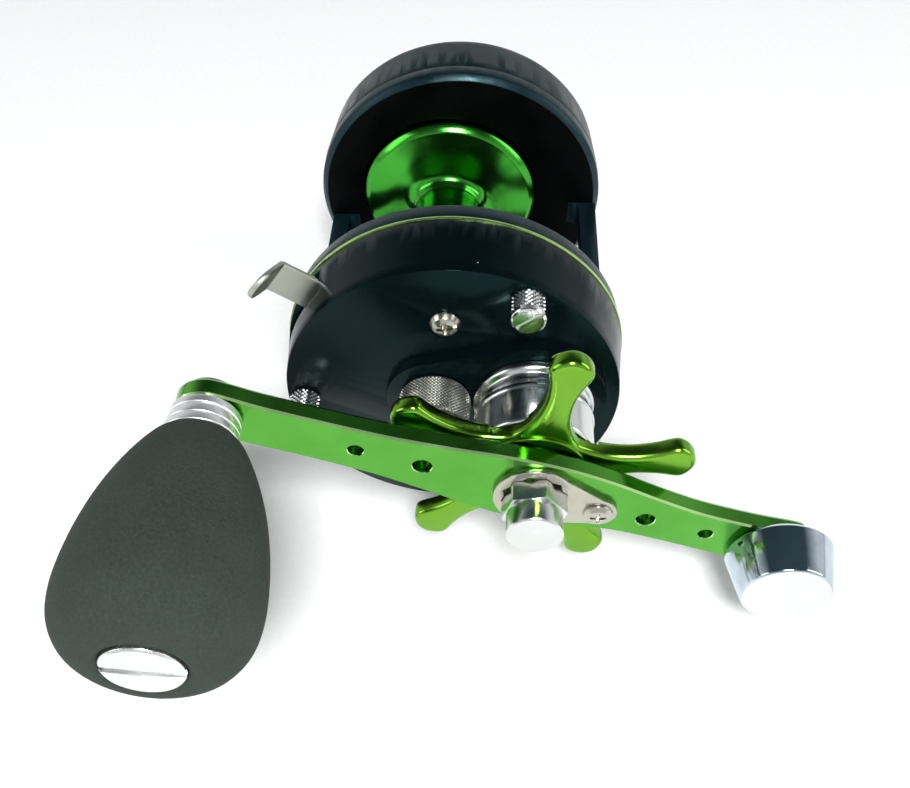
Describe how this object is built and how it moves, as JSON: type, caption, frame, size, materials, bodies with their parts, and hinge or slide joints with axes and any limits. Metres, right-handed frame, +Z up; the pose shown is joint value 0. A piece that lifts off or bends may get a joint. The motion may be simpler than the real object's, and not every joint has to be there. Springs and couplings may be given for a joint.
{
  "type": "fishing reel",
  "caption": "Round conventional fishing reel with an open frame, free-spool lever, star drag, counterweighted crank and a foam power knob.",
  "frame": {"origin": "underside of the reel foot, below the middle of the spool", "axes": "+X along the spool axis towards the crank, +Y towards the rod tip, +Z up from the foot"},
  "size_m": [0.1286, 0.1074, 0.0578],
  "materials": {
    "navy_anodised": "satin anodised",
    "cover_gloss": "gloss coated",
    "lime_anodised": "satin anodised",
    "green_anodised": "bright anodised",
    "bright_steel": "polished",
    "chrome": "polished",
    "nickel": "satin nickel",
    "steel": "machined",
    "yoke_alloy": "machined",
    "brass": "machined",
    "fibre": "matte",
    "rubber_seal": "matte",
    "foam_grip": "matte closed-cell foam"
  },
  "bodies": {
    "reel_body": {"left_frame_ring": "navy_anodised", "right_frame_ring": "navy_anodised", "front_pillar": "navy_anodised", "rear_pillar": "navy_anodised", "foot_bridge": "navy_anodised", "reel_foot": "navy_anodised", "foot_rivets": "steel", "left_side_plate": "navy_anodised", "left_plate_screws": "steel", "left_bearing": "steel", "left_bearing_cap": "steel", "accent_ring": "lime_anodised", "gear_plate": "steel", "gear_plate_screws": "steel", "plate_studs": "steel", "right_cover": "cover_gloss", "thumb_screws": "nickel", "cover_screw": "nickel", "right_bearing": "steel", "cap_o_ring": "rubber_seal", "drag_sleeve": "bright_steel", "one_way_bearing": "steel", "shaft_bush": "brass", "yoke_springs": "steel"},
    "clicker": {"clicker_button": "steel", "clicker_pawl": "brass", "clicker_spring": "steel"},
    "lever": {"clutch_lever": "nickel"},
    "yoke": {"clutch_yoke": "yoke_alloy"},
    "pinion_body": {"pinion": "brass"},
    "spool_body": {"spool": "green_anodised", "spool_shaft": "steel", "spool_pin": "steel", "click_ratchet": "steel"},
    "cap": {"cast_control_cap": "nickel", "tension_shim": "brass"},
    "dog": {"anti_reverse_dog": "steel"},
    "crank": {"drive_shaft": "steel", "shaft_ratchet": "steel", "drive_gear": "brass", "drag_fibre_washers": "fibre", "drag_metal_washers": "steel", "inner_sleeve": "steel", "spring_washers": "steel", "handle_arm": "green_anodised", "handle_washer": "steel", "handle_nut": "bright_steel", "lock_plate": "nickel", "lock_screw": "nickel", "knob_spindle": "steel", "counterweight": "chrome", "counterweight_screw": "steel"},
    "star": {"star_drag": "green_anodised", "star_nut": "brass"},
    "knob": {"knob_ferrule": "bright_steel", "knob_core": "steel", "knob_grip": "foam_grip", "knob_cap": "bright_steel", "knob_bearings": "steel"}
  },
  "joints": [
    {"name": "crank_turn", "type": "hinge", "parent": "reel_body", "child": "crank", "pos_m": [0.04, 0.0138, 0.029], "axis": [1, 0, 0], "continuous": true},
    {"name": "spool_spin", "type": "hinge", "parent": "reel_body", "child": "spool_body", "pos_m": [0, -0.002, 0.029], "axis": [1, 0, 0], "continuous": true},
    {"name": "pinion_spin", "type": "hinge", "parent": "yoke", "child": "pinion_body", "pos_m": [0.025, -0.002, 0.029], "axis": [1, 0, 0], "continuous": true},
    {"name": "knob_spin", "type": "hinge", "parent": "crank", "child": "knob", "pos_m": [0.072, -0.03293, 0.04473], "axis": [1, 0, 0], "continuous": true},
    {"name": "star_turn", "type": "hinge", "parent": "crank", "child": "star", "pos_m": [0.048, 0.0138, 0.029], "axis": [1, 0, 0], "range_deg": [-180, 180]},
    {"name": "cap_turn", "type": "hinge", "parent": "reel_body", "child": "cap", "pos_m": [0.038, -0.002, 0.029], "axis": [1, 0, 0], "range_deg": [-180, 180]},
    {"name": "lever_press", "type": "hinge", "parent": "reel_body", "child": "lever", "pos_m": [0.026, -0.01251, 0.03628], "axis": [1, 0, 0], "range_deg": [0, 24]},
    {"name": "yoke_slide", "type": "slide", "parent": "reel_body", "child": "yoke", "axis": [1, 0, 0], "range_m": [0, 0.0013], "deforming": ["yoke_springs"]},
    {"name": "dog_swing", "type": "hinge", "parent": "reel_body", "child": "dog", "pos_m": [0.023, 0.0108, 0.0164], "axis": [1, 0, 0], "range_deg": [-10, 0]},
    {"name": "clicker_slide", "type": "slide", "parent": "reel_body", "child": "clicker", "axis": [0, 0, 1], "range_m": [0, 0.003]}
  ],
  "couplings": [
    {"joint": "spool_spin", "follows": "crank_turn", "ratio": -3.9375},
    {"joint": "pinion_spin", "follows": "crank_turn", "ratio": -3.9375},
    {"joint": "yoke_slide", "follows": "lever_press", "m_per_rad": 0.0031035}
  ]
}
